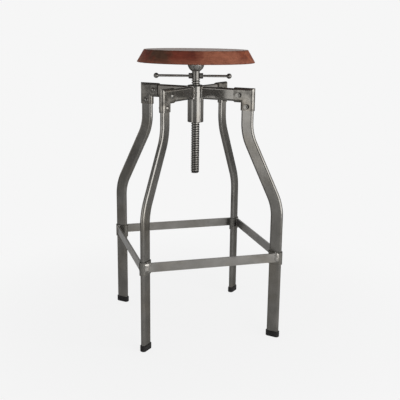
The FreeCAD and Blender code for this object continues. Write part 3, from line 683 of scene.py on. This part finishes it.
# Floor: pale and plain near the stool, one tone with the background further out
def studio_floor():
    mesh = bpy.data.meshes.new("floor")
    corners = ((-1, -1), (1, -1), (1, 1), (-1, 1))
    mesh.from_pydata([(x * FLOOR_REACH, y * FLOOR_REACH, 0) for x, y in corners], [], [(0, 1, 2, 3)])
    floor = bpy.data.objects.new("floor", mesh)
    scene.collection.objects.link(floor)
    g = Graph("floor")
    g.set(Base_Color=grey(0.86), Roughness=0.9, Specular_IOR_Level=0.1)
    glow = g.node("ShaderNodeEmission", Color=BACKGROUND, Strength=1.0)
    rays = g.node("ShaderNodeLightPath")
    away = g.node("ShaderNodeVectorMath", Vector=g.place)
    away.operation = "LENGTH"

    # How much of the plain background a ray sees on the floor, from a share near the stool to all far out
    def background_share(near_share, near, far):
        made = mapped(g.tree, away.outputs["Value"], (near, far), (near_share, 1.0))
        made.interpolation_type = "SMOOTHSTEP"
        return made.outputs["Result"]

    seen = joined(g.tree, "MULTIPLY", background_share(0.92, 0.35, 0.95), seen_rays(g.tree, rays))
    mirrored = joined(g.tree, "MULTIPLY", background_share(0.0, 2.5, 9.0), rays.outputs["Is Glossy Ray"])
    blend = g.node("ShaderNodeMixShader", Fac=joined(g.tree, "MAXIMUM", seen, mirrored))
    g.feed(blend, 1, g.shader.outputs["BSDF"])
    g.feed(blend, 2, glow.outputs["Emission"])
    g.feed(g.tree.nodes["Material Output"], "Surface", blend.outputs["Shader"])
    mesh.materials.append(g.material)


# Direction from the stool to the camera, in radians round the Z axis from the front
AZIMUTH = -0.26745

# How steeply a mirrored ray rises as the ceiling starts and where it is dimmest, and how dim it is there
CEILING_START, CEILING_FULL, CEILING_LEVEL = 0.08, 0.50, 0.25
# The same for rays towards the side that the stool is photographed from, by the cosine of the angle to it
DIM_START, DIM_FULL, DIM_LEVEL = 0.70, 0.92, 0.3
LIGHT_LEVEL = 0.14


# World: the background tone for what is seen, dimmer above and in front in the metal, and low as a light
def studio_world():
    world = bpy.data.worlds.new("studio")
    scene.world = world
    world.use_nodes = True
    tree = world.node_tree
    rays = tree.nodes.new("ShaderNodeLightPath")
    compass = tree.nodes.new("ShaderNodeTexCoord").outputs["Generated"]
    toward = tree.nodes.new("ShaderNodeSeparateXYZ")
    tree.links.new(compass, toward.inputs["Vector"])
    ceiling = mapped(tree, toward.outputs["Z"], (CEILING_START, CEILING_FULL), (1.0, CEILING_LEVEL))
    facing = tree.nodes.new("ShaderNodeVectorMath")
    facing.operation = "DOT_PRODUCT"
    tree.links.new(compass, facing.inputs[0])
    facing.inputs[1].default_value = (math.sin(AZIMUTH), -math.cos(AZIMUTH), 0.0)
    dim_side = mapped(tree, facing.outputs["Value"], (DIM_START, DIM_FULL), (1.0, DIM_LEVEL))
    around = joined(tree, "MULTIPLY", ceiling.outputs["Result"], dim_side.outputs["Result"])
    mirrored = joined(tree, "MULTIPLY", rays.outputs["Is Glossy Ray"], around)
    shown = joined(tree, "MAXIMUM", seen_rays(tree, rays), mirrored)
    back = tree.nodes["Background"]
    back.inputs["Color"].default_value = BACKGROUND
    tree.links.new(joined(tree, "MAXIMUM", shown, LIGHT_LEVEL), back.inputs["Strength"])


# Camera: where it stands and looks in metres and radians, and its lens in pixels of the 400 wide frame
CAMERA_RANGE, CAMERA_HEIGHT = 1.999995, 0.851556
PITCH_DOWN, ROLL = 0.238184, 0.00998
FOCAL, PRINCIPAL, FRAME_WIDTH, SENSOR = 705.0832, 194.62067, 400.0, 36.0


def studio_camera():
    ahead = Vector((-math.sin(AZIMUTH) * math.cos(PITCH_DOWN), math.cos(AZIMUTH) * math.cos(PITCH_DOWN),
                    -math.sin(PITCH_DOWN)))
    level = Vector((math.cos(AZIMUTH), math.sin(AZIMUTH), 0.0))
    upright = level.cross(ahead)
    rolled = level * math.cos(ROLL) + upright * math.sin(ROLL)
    up = upright * math.cos(ROLL) - level * math.sin(ROLL)
    ahead = (ahead + rolled * (FRAME_WIDTH / 2 - PRINCIPAL) / FOCAL).normalized()
    right = ahead.cross(up).normalized()
    up = right.cross(ahead)
    data = bpy.data.cameras.new("camera")
    data.sensor_width = SENSOR
    data.lens = FOCAL / FRAME_WIDTH * SENSOR
    camera = bpy.data.objects.new("camera", data)
    scene.collection.objects.link(camera)
    stand = (CAMERA_RANGE * math.sin(AZIMUTH), -CAMERA_RANGE * math.cos(AZIMUTH), CAMERA_HEIGHT)
    aim = Matrix((right, up, -ahead)).transposed().to_4x4()
    camera.matrix_world = Matrix.Translation(stand) @ aim
    scene.camera = camera


# A soft studio light: degrees to the right of the camera's side, distance, height of its edges, width, glow
def softbox(name, angle, distance, low, high, width, glow):
    lamp = bpy.data.lights.new(name, "AREA")
    lamp.shape = "RECTANGLE"
    lamp.size = width
    lamp.size_y = high - low
    lamp.energy = math.pi * width * (high - low) * glow
    made = bpy.data.objects.new(name, lamp)
    scene.collection.objects.link(made)
    turn = math.radians(angle) + AZIMUTH
    made.location = (distance * math.sin(turn), -distance * math.cos(turn), (low + high) / 2)
    made.rotation_euler = (math.radians(90), 0, turn)
    return made


TOP_TILT = math.radians(12)


def studio_lights():
    softbox("key", 47.5, 2.4, 0.02, 2.2, 2.75, 3.8)
    softbox("left", -44.5, 2.2, 0.02, 1.9, 1.2, 1.55)
    softbox("back_right", 128, 2.4, 0.3, 2.0, 1.5, 0.9)
    softbox("back_left", -128, 2.4, 0.3, 2.0, 1.5, 0.9)
    top = softbox("top", 170, 0.3, 2.0, 3.2, 1.2, 2.8)
    top.rotation_euler = (TOP_TILT, 0, 0)


studio_floor()
studio_world()
studio_camera()
studio_lights()
